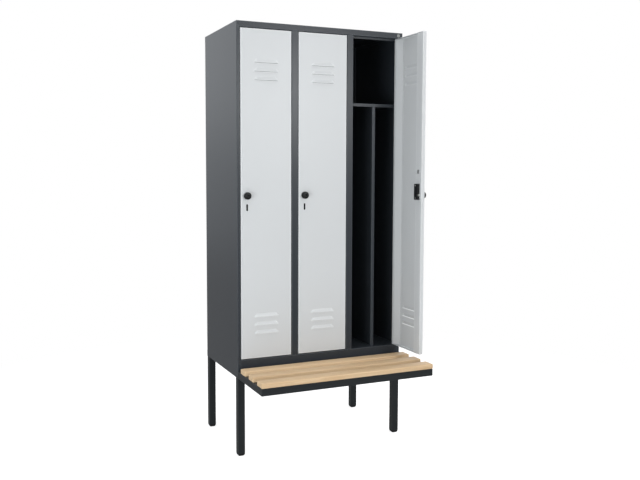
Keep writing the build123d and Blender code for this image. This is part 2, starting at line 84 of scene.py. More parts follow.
class Graph:
    """Places the nodes of one tree and joins their sockets."""

    def __init__(self, tree: bpy.types.NodeTree) -> None:
        """Start on an empty tree."""
        self.tree = tree
        tree.nodes.clear()

    def add(self, kind: str, feeds: Optional[Feeds] = None, **options: object) -> bpy.types.Node:
        """Place a node.

        Args:
            kind: The node's type.
            feeds: What each input takes: another node's output, or a plain value.
            options: Settings of the node itself.

        Returns:
            The new node.
        """
        node = self.tree.nodes.new(kind)
        for name, value in options.items():
            setattr(node, name, value)
        for socket, source in (feeds or {}).items():
            self.feed(node.inputs[socket], source)
        return node

    def out(self, kind: str, feeds: Optional[Feeds] = None, **options: object) -> Socket:
        """Place a node and return its first output."""
        return self.add(kind, feeds, **options).outputs[0]

    def feed(self, socket: Socket, source: Source) -> None:
        """Join an input to an output, or set its plain value."""
        if isinstance(source, Socket):
            self.tree.links.new(source, socket)
        else:
            socket.default_value = source

    def sum(self, operation: str, first: Source, second: Source = 0.0) -> Socket:
        """Work out one sum, such as ADD or MULTIPLY, and return its output."""
        return self.out("ShaderNodeMath", {0: first, 1: second}, operation=operation)

    def vector(self, operation: str, feeds: Feeds, output: str = "Vector") -> Socket:
        """Work out one sum of vectors and return its vector, or else its value."""
        return self.add("ShaderNodeVectorMath", feeds, operation=operation).outputs[output]

    def noise(self, place: Source, scale: Source, detail: float = 2.0, warp: float = 0.0) -> Socket:
        """Noise from 0 to 1 over a place, by its cells in a metre, octaves and distortion."""
        feeds = {"Vector": place, "Scale": scale, "Detail": detail, "Distortion": warp}
        return self.out("ShaderNodeTexNoise", feeds)

    def span(self, value: Source, low: Source, high: Source, start: Source, end: Source) -> Socket:
        """Carry a value from one range into another, held at the ends."""
        return self.out("ShaderNodeMapRange", {0: value, 1: low, 2: high, 3: start, 4: end})

    def shine(self, kind: str, strength: Source, tint: Triple = (1.0, 1.0, 1.0)) -> Socket:
        """Give off light, as a surface or a background, with a strength and a colour."""
        return self.out(kind, {"Color": (*tint, 1.0), "Strength": strength})

    def mix(self, share: Source, first: Source, second: Source) -> Socket:
        """Mix two shaders by a share."""
        return self.out("ShaderNodeMixShader", {0: share, 1: first, 2: second})

    def blend(self, share: Source, first: Source, second: Source) -> Socket:
        """Mix two colours by a share."""
        feeds = {0: share, 6: first, 7: second}
        return self.add("ShaderNodeMix", feeds, data_type="RGBA").outputs[2]

    def group(self, tree: bpy.types.NodeTree, feeds: Feeds) -> bpy.types.NodeOutputs:
        """Place a shader group and return its outputs."""
        return self.add("ShaderNodeGroup", feeds, node_tree=tree).outputs

    def cover(self, skin: bpy.types.NodeOutputs, relief: Feeds, plain: Feeds) -> None:
        """End a material with a skin's bump and surface.

        Args:
            skin: A shader group's Colour, Roughness and Height.
            relief: Strength and depth of the bump, and the normal under it.
            plain: Numbers that are the same all over the surface.
        """
        bump = self.out("ShaderNodeBump", {"Height": skin["Height"], **relief})
        feeds = {"Base Color": skin["Colour"], "Roughness": skin["Roughness"], "Normal": bump}
        surface = self.out("ShaderNodeBsdfPrincipled", {**feeds, **plain})
        self.add("ShaderNodeOutputMaterial", {0: surface})


def new_material(name: str) -> Tuple[bpy.types.Material, Graph, Socket]:
    """Start a material, and return it with its graph and the place on the object."""
    made = bpy.data.materials.new(name)
    made.use_nodes = True
    graph = Graph(made.node_tree)
    return made, graph, graph.add("ShaderNodeTexCoord").outputs["Object"]


class Group(Graph):
    """A node group with named inputs and outputs."""

    def __init__(
        self, name: str, family: str, outputs: Dict[str, str], **inputs: Sequence[str]
    ) -> None:
        """Start the group.

        Args:
            name: The group's name.
            family: Shader or Geometry.
            outputs: Kind of each output, by its name.
            inputs: Names of the inputs of each kind.
        """
        super().__init__(bpy.data.node_groups.new(name, family + "NodeTree"))
        face, self.names = self.tree.interface, {}
        for kind, labels in inputs.items():
            for label in labels:
                socket = face.new_socket(label, in_out="INPUT", socket_type="NodeSocket" + kind)
                self.names[label] = socket.identifier
        for label, kind in outputs.items():
            face.new_socket(label, in_out="OUTPUT", socket_type="NodeSocket" + kind)
        self.entry = self.add("NodeGroupInput").outputs
        self.leave = self.add("NodeGroupOutput").inputs

    def give(self, label: str, source: Source) -> None:
        """Put a value out of the group."""
        self.feed(self.leave[label], source)


# Outputs of a group that gives a surface its skin
SKIN = {"Colour": "Color", "Roughness": "Float", "Height": "Float"}


@cache
def coat_group() -> bpy.types.NodeTree:
    """Skin of a sprayed or moulded surface: fine peel, slow mottle, and a painted highlight on the
    edges.
    """
    cloud_scale, patch_scale, patch_low, patch_high = 4.0, 160.0, 0.3, 0.6
    least_highlight, rough_swing = 0.55, 0.12
    graph = Group(
        "coated_skin", "Shader", SKIN, Vector=("Place",), Color=("Colour", "Highlight Colour"),
        Float=("Edge", "Peel Scale", "Mottle", "Roughness"),
    )
    entry = graph.entry
    peel = graph.noise(entry["Place"], entry["Peel Scale"])
    cloud = graph.noise(entry["Place"], cloud_scale, detail=3.0)
    grain = graph.sum("SUBTRACT", peel, 0.5)
    sway = graph.sum("MULTIPLY", graph.sum("SUBTRACT", cloud, 0.5), entry["Mottle"])
    speck = graph.sum("MULTIPLY", grain, entry["Mottle"])
    lift = graph.sum("ADD", graph.sum("ADD", sway, speck), 1.0)
    shaded = graph.vector("SCALE", {0: entry["Colour"], "Scale": lift})
    # Painted highlight: the edge mask, broken up in patches, blends the paint towards the lighter
    # highlight colour.
    patches = graph.noise(entry["Place"], patch_scale, detail=3.0)
    broken = graph.span(patches, patch_low, patch_high, least_highlight, 1.0)
    painted_highlight = graph.sum("MULTIPLY", entry["Edge"], broken)
    graph.give("Colour", graph.blend(painted_highlight, shaded, entry["Highlight Colour"]))
    rough = graph.sum("ADD", entry["Roughness"], graph.sum("MULTIPLY", grain, rough_swing))
    graph.give("Roughness", rough)
    graph.give("Height", peel)
    return graph.tree


@cache
def highlight_group() -> bpy.types.NodeTree:
    """Mask of the painted edge highlight: where the rounded normal leaves the flat one."""
    graph = Group(
        "painted_edge_highlight", "Shader", {"Mask": "Float"}, Vector=("Rounded", "Flat"),
        Float=("Begin", "Full", "Share"),
    )
    entry = graph.entry
    agree = graph.vector("DOT_PRODUCT", {0: entry["Rounded"], 1: entry["Flat"]}, "Value")
    turn = graph.span(agree, entry["Begin"], entry["Full"], 0.0, 1.0)
    graph.give("Mask", graph.sum("MULTIPLY", turn, entry["Share"]))
    return graph.tree


@cache
def grain_group() -> bpy.types.NodeTree:
    """Steamed beech with its grain along X: growth lines, streaks and short dark flecks."""
    stretch, fleck_stretch = (0.05, 1.0, 1.0), (0.16, 1.0, 1.0)
    streak_scale, fine_scale, lazy_scale, fleck_scale = 90.0, 900.0, 14.0, 1500.0
    board_drift, pith_height, pith_swing, pith_lift = 3.0, 0.36, 0.08, 0.05
    streak_low, streak_high, fleck_low, fleck_high = 0.3, 0.7, 0.66, 0.74
    ring_sway, ring_bend = 0.02, 3.0
    ring_share, streak_share, fleck_share = 0.35, 0.65, 0.5
    least_tone, tone_swing = 0.94, 0.10
    least_rough, rough_swing, ring_height = 0.42, 0.16, 0.4
    graph = Group(
        "beech_grain", "Shader", SKIN, Vector=("Place",),
        Color=("Early Wood", "Late Wood", "Fleck"),
        Float=("First Board", "Board Pitch", "Ring Pitch"),
    )
    entry = graph.entry
    split = graph.add("ShaderNodeSeparateXYZ", {0: entry["Place"]}).outputs
    depth = graph.sum("SUBTRACT", split["Y"], entry["First Board"])
    number = graph.sum("FLOOR", graph.sum("DIVIDE", depth, entry["Board Pitch"]))
    chance = graph.add("ShaderNodeTexWhiteNoise", {"W": number}, noise_dimensions="1D")
    chance = chance.outputs["Color"]
    shift = graph.vector("SCALE", {0: chance, "Scale": board_drift})
    moved = graph.vector("ADD", {0: entry["Place"], 1: shift})
    along = graph.out("ShaderNodeMapping", {"Vector": moved, "Scale": stretch})
    streak = graph.noise(along, streak_scale, detail=4.0, warp=0.4)
    fine = graph.noise(along, fine_scale)
    lazy = graph.noise(along, lazy_scale, warp=0.3)
    across = graph.add("ShaderNodeSeparateXYZ", {0: chance}).outputs
    middle = graph.sum("MULTIPLY", graph.sum("ADD", number, 0.5), entry["Board Pitch"])
    aside = graph.sum("MULTIPLY", graph.sum("SUBTRACT", across["X"], 0.5), pith_swing)
    pith_y = graph.sum("ADD", graph.sum("SUBTRACT", depth, middle), aside)
    above = graph.sum("MULTIPLY", across["Y"], pith_lift)
    pith_z = graph.sum("ADD", graph.sum("SUBTRACT", split["Z"], pith_height), above)
    pith = graph.out("ShaderNodeCombineXYZ", {"Y": pith_y, "Z": pith_z})
    radius = graph.vector("LENGTH", {0: pith}, "Value")
    swayed = graph.sum("ADD", radius, graph.sum("MULTIPLY", lazy, ring_sway))
    turns = graph.sum("DIVIDE", swayed, entry["Ring Pitch"])
    ring = graph.sum("POWER", graph.sum("FRACT", turns), ring_bend)
    late = graph.sum("MULTIPLY", ring, ring_share)
    streaks = graph.span(streak, streak_low, streak_high, 0.0, streak_share)
    late = graph.sum("ADD", late, streaks)
    body = graph.blend(late, entry["Early Wood"], entry["Late Wood"])
    short = graph.out("ShaderNodeMapping", {"Vector": moved, "Scale": fleck_stretch})
    dashes = graph.noise(short, fleck_scale, detail=1.0)
    dashes = graph.span(dashes, fleck_low, fleck_high, 0.0, fleck_share)
    body = graph.blend(dashes, body, entry["Fleck"])
    pale = graph.sum("ADD", least_tone, graph.sum("MULTIPLY", across["Z"], tone_swing))
    graph.give("Colour", graph.vector("SCALE", {0: body, "Scale": pale}))
    rough = graph.sum("ADD", least_rough, graph.sum("MULTIPLY", fine, rough_swing))
    graph.give("Roughness", rough)
    graph.give("Height", graph.sum("ADD", fine, graph.sum("MULTIPLY", ring, ring_height)))
    return graph.tree


@dataclass(frozen=True)
class Finish:
    """A finish with a skin: powder coat, moulded plastic or plated steel.

    Attributes:
        name: The material's name.
        slot: The record's material slot.
        colour: Display colour of the flat surface.
        edge: Display colour of the painted highlight on the edges.
        roughness: Middle roughness.
        peel_scale: Grains of the skin in a metre.
        peel_height: Height of the grains, in metres.
        mottle: How much the colour varies.
        edge_share: How strongly the painted edge highlight shows.
        edge_radius: Radius that the edges look rounded to, in metres.
        edge_reach: How far from an edge the painted highlight shows, in metres.
        edge_turn: Cosines of the turn at which the painted highlight begins, and at which it is
            full.
        gloss: Specular level.
        metal: Metallic share.
    """

    name: str
    slot: str
    colour: Tint
    edge: Tint
    roughness: float = 0.5
    peel_scale: float = 900.0
    peel_height: float = 0.00002
    mottle: float = 0.06
    edge_share: float = 0.5
    edge_radius: float = 0.0012
    edge_reach: float = 0.0020
    edge_turn: Pair = (0.9995, 0.90)
    gloss: float = 0.3
    metal: float = 0.0

    def material(self) -> bpy.types.Material:
        """Return the finish's material, making it the first time."""
        found = bpy.data.materials.get(self.name)
        if found:
            return found
        made, graph, place = new_material(self.name)
        rounded, wide = [
            graph.out("ShaderNodeBevel", {"Radius": radius}, samples=4)
            for radius in (self.edge_radius, self.edge_reach)
        ]
        flat = graph.add("ShaderNodeNewGeometry").outputs["True Normal"]
        begin, full = self.edge_turn
        feeds = {
            "Rounded": wide, "Flat": flat, "Begin": begin, "Full": full,
            "Share": self.edge_share,
        }
        # Painted highlight on the edges: a mask from where a wide bevel normal leaves the true
        # normal.
        edge = graph.group(highlight_group(), feeds)["Mask"]
        feeds = {
            "Place": place, "Peel Scale": self.peel_scale, "Mottle": self.mottle,
            "Colour": tone(*self.colour), "Highlight Colour": tone(*self.edge), "Edge": edge,
            "Roughness": self.roughness,
        }
        skin = graph.group(coat_group(), feeds)
        relief = {"Strength": 0.5, "Distance": self.peel_height, "Normal": rounded}
        graph.cover(skin, relief, {"Metallic": self.metal, "Specular IOR Level": self.gloss})
        return made


@dataclass(frozen=True)
class Beech:
    """Oiled beech, its grain along the boards.

    Attributes:
        name: The material's name.
        slot: The record's material slot.
        early: Display colour of the early wood.
        late: Display colour of the late wood.
        fleck: Display colour of the flecks.
        ring_pitch: Distance between growth rings, in metres.
        pore_depth: Depth of the grain's relief, in metres.
        gloss: Specular level.
    """

    name: str = "beech_boards"
    slot: str = "beech"
    early: Tint = (215, 188, 152)
    late: Tint = (195, 162, 123)
    fleck: Tint = (150, 112, 76)
    ring_pitch: float = 0.0042
    pore_depth: float = 0.00008
    gloss: float = 0.3

    def material(self, first_board: float, board_pitch: float) -> bpy.types.Material:
        """Return the wood for boards that start at a depth and follow at a pitch."""
        made, graph, place = new_material(self.name)
        feeds = {
            "Place": place, "First Board": first_board, "Board Pitch": board_pitch,
            "Early Wood": tone(*self.early), "Late Wood": tone(*self.late),
            "Fleck": tone(*self.fleck), "Ring Pitch": self.ring_pitch,
        }
        wood = graph.group(grain_group(), feeds)
        relief = {"Strength": 0.4, "Distance": self.pore_depth}
        graph.cover(wood, relief, {"Specular IOR Level": self.gloss})
        return made


# Each finish's second colour is its painted highlight on the edges.
CARCASS_PAINT = Finish(
    "anthracite_carcass", "carcass_paint", (43, 47, 52), (72, 78, 83), roughness=0.34,
    edge_share=0.8, edge_radius=0.0018, edge_reach=0.0060, gloss=0.31,
)
FRAME_PAINT = Finish(
    "anthracite_base", "frame_paint", (34, 37, 39), (62, 66, 68), roughness=0.42, gloss=0.2,
)
DOOR_PAINT = Finish(
    "light_grey_doors", "door_paint", (199, 201, 202), (252, 254, 255), roughness=0.38,
    mottle=0.02, edge_share=0.4, edge_reach=0.0080, edge_turn=(0.92, 0.80), gloss=0.25,
)
KNOB_PLASTIC = Finish(
    "knob_black", "knob_plastic", (15, 16, 17), (40, 42, 44), roughness=0.42,
    peel_scale=1600.0, gloss=0.26,
)
CASE_PLASTIC = Finish(
    "moulded_black", "black_plastic", (20, 21, 22), (38, 39, 40), roughness=0.6,
    peel_scale=1400.0, gloss=0.25,
)
SLOT_PLASTIC = Finish(
    "slot_black", "black_plastic", (9, 10, 11), (16, 17, 18), roughness=0.7,
    peel_scale=1400.0, gloss=0.12,
)
ZINC = Finish(
    "zinc_plating", "zinc_plate", (196, 196, 190), (222, 222, 218), roughness=0.34,
    peel_scale=420.0, peel_height=0.00001, mottle=0.14, gloss=0.5, metal=1.0,
)
# Zinc painted dark, a shaded copy of the zinc plating: painted shade on the coat rails in the dark
# compartment. It also dresses the pivot pins.
SHADE_DARK_ZINC = Finish(
    "shade_darkened_zinc", "zinc_plate", (52, 54, 57), (84, 86, 88), roughness=0.42,
    mottle=0.1, gloss=0.4, metal=1.0,
)
BUTTON_CAP = Finish(
    "grey_blank_cap", "zinc_plate", (134, 136, 134), (156, 158, 157), roughness=0.55,
)
BEECH = Beech()


class Recess(Enum):
    """What is sunk into a fastener's head."""

    NONE = "none"
    HEX = "hex"


def new_object(name: str, data: bpy.types.ID) -> Piece:
    """Put a mesh, a lamp or a camera into the scene, at the origin."""
    made = bpy.data.objects.new(name, data)
    bpy.context.scene.collection.objects.link(made)
    return made


def finished(name: str, mesh: bpy.types.Mesh, place: Matrix, finish: Finish) -> Piece:
    """Move a mesh to its place and make it an object with a finish."""
    mesh.transform(place)
    mesh.materials.append(finish.material())
    return new_object(name, mesh)


def smooth(mesh: bpy.types.Mesh, sharp: float = 40.0) -> None:
    """Shade a mesh smooth, but for edges sharper than an angle in degrees."""
    mesh.shade_smooth()
    mesh.set_sharp_from_angle(angle=math.radians(sharp))


def settle(piece: Piece, sharp: float = 35.0) -> Piece:
    """Turn an object's live modifiers into its plain mesh.

    Args:
        piece: The object, which keeps its name.
        sharp: Edges sharper than this stay sharp, in degrees.

    Returns:
        The same object, without modifiers.
    """
    deps = bpy.context.evaluated_depsgraph_get()
    mesh = bpy.data.meshes.new_from_object(
        piece.evaluated_get(deps), preserve_all_data_layers=True, depsgraph=deps
    )
    piece.modifiers.clear()
    piece.data = mesh
    smooth(mesh, sharp)
    return piece


def hand_over(piece: Piece, body: str, slot: str, *stands_for: str) -> Piece:
    """Attach a finished piece to its body and hide the CAD nodes that it stands for."""
    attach(piece, body)
    if stands_for:
        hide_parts(*stands_for)
    log.info("%s rides on %s", piece.name, body)
    return piece


class ShapeTree(Group):
    """A geometry tree with named inputs, set on an object by the sockets' identifiers."""

    def __init__(self, name: str, **inputs: Sequence[str]) -> None:
        """Start the tree, with the geometry before its inputs and the finish after them."""
        inputs = {"Geometry": ("Geometry",), **inputs, "Material": ("Finish",)}
        super().__init__(name, "Geometry", {"Geometry": "Geometry"}, **inputs)

    def lift(self, shape: Source, rise: Source) -> Socket:
        """Move a shape up."""
        move = self.out("ShaderNodeCombineXYZ", {"Z": rise})
        return self.out("GeometryNodeTransform", {"Geometry": shape, "Translation": move})

    def repeat(self, points: Source, shape: Source, turn: Source = (0.0, 0.0, 0.0)) -> Socket:
        """Put a shape on each point, turned by a rotation."""
        feeds = {"Points": points, "Instance": shape, "Rotation": turn}
        return self.out("GeometryNodeInstanceOnPoints", feeds)

    def close(self, shape: Socket) -> None:
        """End the tree: instances made real, then the finish."""
        real = self.out("GeometryNodeRealizeInstances", {0: shape})
        feeds = {0: real, "Material": self.entry["Finish"]}
        self.give("Geometry", self.out("GeometryNodeSetMaterial", feeds))

    def grow(self, name: str, places: Sequence[Triple], values: Dict[str, object]) -> Piece:
        """Make an object of points that carries the tree, set to its values."""
        mesh = bpy.data.meshes.new(name)
        mesh.from_pydata(places, [], [])
        piece = new_object(name, mesh)
        modifier = piece.modifiers.new(self.tree.name, "NODES")
        modifier.node_group = self.tree
        for label, value in values.items():
            modifier[self.names[label]] = value
        return piece


@cache
def boards_tree() -> ShapeTree:
    """Boards of one size side by side."""
    shape = ShapeTree("boards", Vector=("Size", "First", "Step"), Int=("Count",))
    entry = shape.entry
    board = shape.out("GeometryNodeMeshCube", {"Size": entry["Size"]})
    feeds = {"Count": entry["Count"], "Start Location": entry["First"], "Offset": entry["Step"]}
    shape.close(shape.repeat(shape.out("GeometryNodeMeshLine", feeds), board))
    return shape


@cache
def feet_tree() -> ShapeTree:
    """Caps under posts: a straight rim, then a bottom that rounds in."""
    rings, corner_facets, corner_follow, weld_reach = 25, 6, 1.4, 1e-6
    shape = ShapeTree("foot_caps", Float=("Side", "Corner", "Height", "Round"))
    entry = shape.entry
    top = shape.out("ShaderNodeCombineXYZ", {"Z": entry["Height"]})
    path = shape.out("GeometryNodeCurvePrimitiveLine", {"End": top})
    path = shape.out("GeometryNodeResampleCurve", {"Curve": path, "Count": rings})
    here = shape.out("GeometryNodeInputPosition")
    rise = shape.add("ShaderNodeSeparateXYZ", {0: here}).outputs["Z"]
    rise = shape.sum("DIVIDE", rise, entry["Round"])
    under = shape.sum("MAXIMUM", shape.sum("SUBTRACT", 1.0, rise), 0.0)
    level = shape.sum("SUBTRACT", 1.0, shape.sum("MULTIPLY", under, under))
    bow = shape.sum("SUBTRACT", 1.0, shape.sum("SQRT", level))
    drawn_in = shape.sum("DIVIDE", shape.sum("MULTIPLY", bow, entry["Round"]), entry["Side"])
    share = shape.sum("SUBTRACT", 1.0, shape.sum("MULTIPLY", drawn_in, corner_follow))
    feeds = {"Width": entry["Side"], "Height": entry["Side"]}
    square = shape.out("GeometryNodeCurvePrimitiveQuadrilateral", feeds)
    feeds = {"Curve": square, "Radius": entry["Corner"], "Count": corner_facets}
    section = shape.out("GeometryNodeFilletCurve", feeds, mode="POLY")
    feeds = {"Curve": path, "Profile Curve": section, "Scale": share, "Fill Caps": True}
    swept = shape.out("GeometryNodeCurveToMesh", feeds)
    feeds = {"Geometry": swept, "Distance": weld_reach}
    cap = shape.out("GeometryNodeMergeByDistance", feeds)
    shape.close(shape.repeat(entry["Geometry"], cap))
    return shape


@cache
def heads_tree(recess: Recess) -> ShapeTree:
    """Fastener heads on the points of a mesh.

    Args:
        recess: What is cut into each head.

    Returns:
        The tree, with the head's sizes as inputs.
    """
    sides, crown_share = 28, 0.4
    shape = ShapeTree(
        f"heads_{recess.value}",
        Float=("Radius", "Height", "Crown Share", "Recess Width", "Recess Depth"),
        Vector=("Turn",),
    )
    entry = shape.entry
    wide, narrow = entry["Radius"], shape.sum("MULTIPLY", entry["Radius"], entry["Crown Share"])
    low = shape.sum("MULTIPLY", entry["Height"], 1.0 - crown_share)
    high = shape.sum("MULTIPLY", entry["Height"], crown_share)
    feeds = {"Vertices": sides, "Side Segments": 1, "Radius Bottom": wide}
    foot = shape.out("GeometryNodeMeshCone", {**feeds, "Radius Top": wide, "Depth": low})
    top = shape.out("GeometryNodeMeshCone", {**feeds, "Radius Top": narrow, "Depth": high})
    head = shape.add("GeometryNodeMeshBoolean", operation="UNION", solver="EXACT")
    shape.feed(head.inputs["Mesh 2"], shape.lift(top, low))
    shape.feed(head.inputs["Mesh 2"], foot)
    solid = head.outputs[0]
    if recess is Recess.HEX:
        across = shape.sum("MULTIPLY", entry["Recess Width"], 0.5)
        deep = shape.sum("MULTIPLY", entry["Recess Depth"], 2.0)
        feeds = {"Vertices": 6, "Radius": across, "Depth": deep}
        tool = shape.out("GeometryNodeMeshCylinder", feeds)
        feeds = {"Mesh 1": solid, "Mesh 2": shape.lift(tool, entry["Height"])}
        solid = shape.out(
            "GeometryNodeMeshBoolean", feeds, operation="DIFFERENCE", solver="EXACT"
        )
    turn = shape.out("FunctionNodeEulerToRotation", {0: entry["Turn"]})
    shape.close(shape.repeat(entry["Geometry"], solid, turn))
    return shape


@dataclass(frozen=True)
class Fastener:
    """A small fastener whose head repeats over a surface.

    Attributes:
        radius: Radius of the head, in metres.
        height: Height of the head, in metres.
        crown: Radius at the top as a share of the radius.
        finish: What the head is dressed in.
        recess: What is sunk into the head.
        recess_width: Width of the recess, in metres.
        recess_depth: Depth of the recess, in metres.
    """

    radius: float
    height: float
    crown: float
    finish: Finish
    recess: Recess = Recess.NONE
    recess_width: float = 0.0
    recess_depth: float = 0.0

    def scatter(
        self, name: str, places: Sequence[Triple], turn: Triple, body: str,
        carry: Optional[Matrix] = None,
    ) -> Piece:
        """Put heads on places of one body.

        Args:
            name: Name of the piece.
            places: Where the heads sit.
            turn: Turn of a head that would face up, as angles about X, Y and Z.
            body: The CAD body that the piece rides on.
            carry: Moves the finished mesh into the row frame.

        Returns:
            The finished piece.
        """
        values = {
            "Radius": self.radius, "Height": self.height, "Crown Share": self.crown,
            "Recess Width": self.recess_width, "Recess Depth": self.recess_depth,
            "Turn": turn, "Finish": self.finish.material(),
        }
        piece = settle(heads_tree(self.recess).grow(name, places, values))
        if carry is not None:
            piece.data.transform(carry)
        return hand_over(piece, body, self.finish.slot)


CASE_SCREW = Fastener(
    radius=0.0031, height=0.0016, crown=0.72, finish=ZINC,
    recess=Recess.HEX, recess_width=0.0028, recess_depth=0.0011,
)
WELD_SPOT = Fastener(radius=0.0032, height=0.0004, crown=0.7, finish=CARCASS_PAINT)

# Turn of a head that faces the rear, and how far small things reach into their sheet, in metres
FACING_REAR: Triple = (-math.pi / 2, 0.0, 0.0)
SINK = 0.0001


def arc(start: Vector, control: Vector, end: Vector, steps: int) -> Line:
    """Points of a curve that bends from its start to its end, drawn towards a control point."""
    points = []
    for k in range(steps + 1):
        t = k / steps
        point = start * (1 - t) ** 2 + control * 2 * t * (1 - t) + end * t * t
        points.append((point.x, point.y))
    return points


def softened(corners: Line, radius: float, steps: int = 4) -> Line:
    """Round the inner corners of an open line.

    Args:
        corners: Points of the line.
        radius: Radius of each corner, made smaller on short runs.
        steps: Points on each arc, less one.

    Returns:
        The line with its ends kept and its corners as arcs.
    """
    nearly_straight, longest_share = math.radians(88), 0.45
    line = [corners[0]]
    for before, corner, after in zip(corners, corners[1:], corners[2:]):
        here = Vector(corner)
        back, on = Vector(before) - here, Vector(after) - here
        half = back.angle(on) / 2
        if half > nearly_straight:
            line.append(corner)
            continue
        run = longest_share * min(back.length, on.length)
        reach = min(radius / math.tan(half), run)
        start, end = here + back.normalized() * reach, here + on.normalized() * reach
        line += arc(start, here, end, steps)
    line.append(corners[-1])
    return line


def turned(name: str, profile: Line, sides: int) -> bpy.types.Mesh:
    """Turn a profile about the -Y axis into a closed body.

    Args:
        name: Name of the mesh.
        profile: Radius and distance out along -Y, from one pole to the other.
        sides: Facets round the axis.

    Returns:
        The mesh, its faces outwards.
    """
    pole = 1e-7
    form = bmesh.new()
    rings = []
    for radius, out in profile:
        if radius < pole:
            rings.append([form.verts.new((0.0, -out, 0.0))])
            continue
        ring = []
        for k in range(sides):
            angle = math.tau * k / sides
            ring.append(form.verts.new((radius * math.cos(angle), -out, radius * math.sin(angle))))
        rings.append(ring)
    for first, second in zip(rings, rings[1:]):
        for k in range(sides):
            after = (k + 1) % sides
            loop = [first[k % len(first)], first[after % len(first)]]
            loop += [second[after % len(second)], second[k % len(second)]]
            loop = list(dict.fromkeys(loop))
            if len(loop) > 2:
                form.faces.new(loop)
    bmesh.ops.recalc_face_normals(form, faces=form.faces)
    mesh = bpy.data.meshes.new(name)
    form.to_mesh(mesh)
    form.free()
    smooth(mesh)
    return mesh


def dress(finish: Finish, *names: str) -> None:
    """Give CAD nodes a finish."""
    for name in names:
        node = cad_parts[name]
        material = finish.material()
        if not node.material_slots:
            node.data.materials.append(material)
        for place in node.material_slots:
            place.material = material
    log.info("%s dresses %d nodes", finish.name, len(names))


def nodes_named(*starts: str) -> List[str]:
    """Names of the CAD nodes that start in one of these ways, in order."""
    return sorted(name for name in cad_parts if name.startswith(starts))


@dataclass
class Carcass:
    """The steel body: panels, front frame, shelves and dividers.

    Attributes:
        button_inset: From the header's right end to the middle of the blank button.
        button_drop: From the header's top to the middle of the blank button.
        button_radius: Radius of the blank button.
        button_height: How far it stands out.
        button_dome: Its outline, as shares of its radius and height.
        button_edge: Radius of its edges.
        button_sink: How far it reaches into the header.
        button_sides: Facets round it.
        weld_pitch: Distance between the spot welds on the rear panel.
        weld_drop: From the top of a hat shelf to the welds in its rear lip.
    """

    button_inset: float = 0.022
    button_drop: float = 0.0145
    button_radius: float = 0.0085
    button_height: float = 0.0016
    button_dome: Tuple[Pair, ...] = ((0, 1), (0.7, 0.94), (0.94, 0.6), (1, 0))
    button_edge: float = 0.0008
    button_sink: float = 0.0006
    button_sides: int = 40
    weld_pitch: float = 0.155
    weld_drop: float = 0.0075

    def build(self) -> None:
        """Dress the panels and add the small things on them."""
        dress(
            CARCASS_PAINT,
            *nodes_named("side_panel", "roof", "rear", "floor", "partition"),
            *nodes_named("front_header", "bottom_rail", "stile", "hat_shelf", "divider"),
        )
        # Coat rails and hooks in painted shade: dark zinc, so that they sink into the dark
        # compartment.
        dress(SHADE_DARK_ZINC, *nodes_named("coat_"))
        self.add_button()
        self.add_welds()

    def add_button(self) -> Piece:
        """Make the blank button that closes a hole in the header."""
        low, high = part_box("front_header")
        radius, height = self.button_radius, self.button_height
        corners = [(radius * out, height * up) for out, up in self.button_dome]
        corners += [(radius / 2, -self.button_sink), (0.0, -self.button_sink)]
        mesh = turned("header_button", softened(corners, self.button_edge), self.button_sides)
        middle = (high.x - self.button_inset, low.y, high.z - self.button_drop)
        piece = finished("header_button", mesh, Matrix.Translation(middle), BUTTON_CAP)
        return hand_over(piece, "carcass", BUTTON_CAP.slot)

    def add_welds(self) -> Piece:
        """Make the spot welds that join the partitions and shelves to the rear panel."""
        low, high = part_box("rear_panel")
        places = []
        for name in nodes_named("partition"):
            first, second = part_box(name)
            for z in self.spread(low.z, high.z):
                places.append(((first.x + second.x) / 2, high.y - SINK, z))
        for name in nodes_named("hat_shelf"):
            first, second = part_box(name)
            for x in self.spread(first.x, second.x):
                places.append((x, high.y - SINK, second.z - self.weld_drop))
        return WELD_SPOT.scatter("rear_weld_spots", places, FACING_REAR, "carcass")

    def spread(self, low: float, high: float) -> List[float]:
        """Places at the weld pitch along a run, with equal ends left over."""
        count = max(2, int((high - low) / self.weld_pitch))
        margin = (high - low - (count - 1) * self.weld_pitch) / 2
        return [low + margin + k * self.weld_pitch for k in range(count)]


@dataclass
class Base:
    """The tube base: legs, rails and feet.

    Attributes:
        foot_corner: Radius of a foot's upright corners.
        foot_round: Radius of its bottom.
    """

    foot_corner: float = 0.004
    foot_round: float = 0.013

    def build(self) -> None:
        """Dress the tubes and make the feet."""
        dress(FRAME_PAINT, *nodes_named("leg_", "side_rail", "bench_rail", "cross_rail"))
        dress(ZINC, "slat_screws")
        self.add_feet()

    def add_feet(self) -> Piece:
        """Make the plastic feet under the legs."""
        places, side, top = [], 0.0, 0.0
        for name in nodes_named("leg_"):
            low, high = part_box(name)
            side, top = high.x - low.x, low.z
            places.append(((low.x + high.x) / 2, (low.y + high.y) / 2, 0.0))
        values = {
            "Side": side, "Corner": self.foot_corner, "Height": top, "Round": self.foot_round,
            "Finish": CASE_PLASTIC.material(),
        }
        piece = settle(feet_tree().grow("leg_feet", places, values), 40.0)
        return hand_over(piece, "carcass", CASE_PLASTIC.slot, "feet")


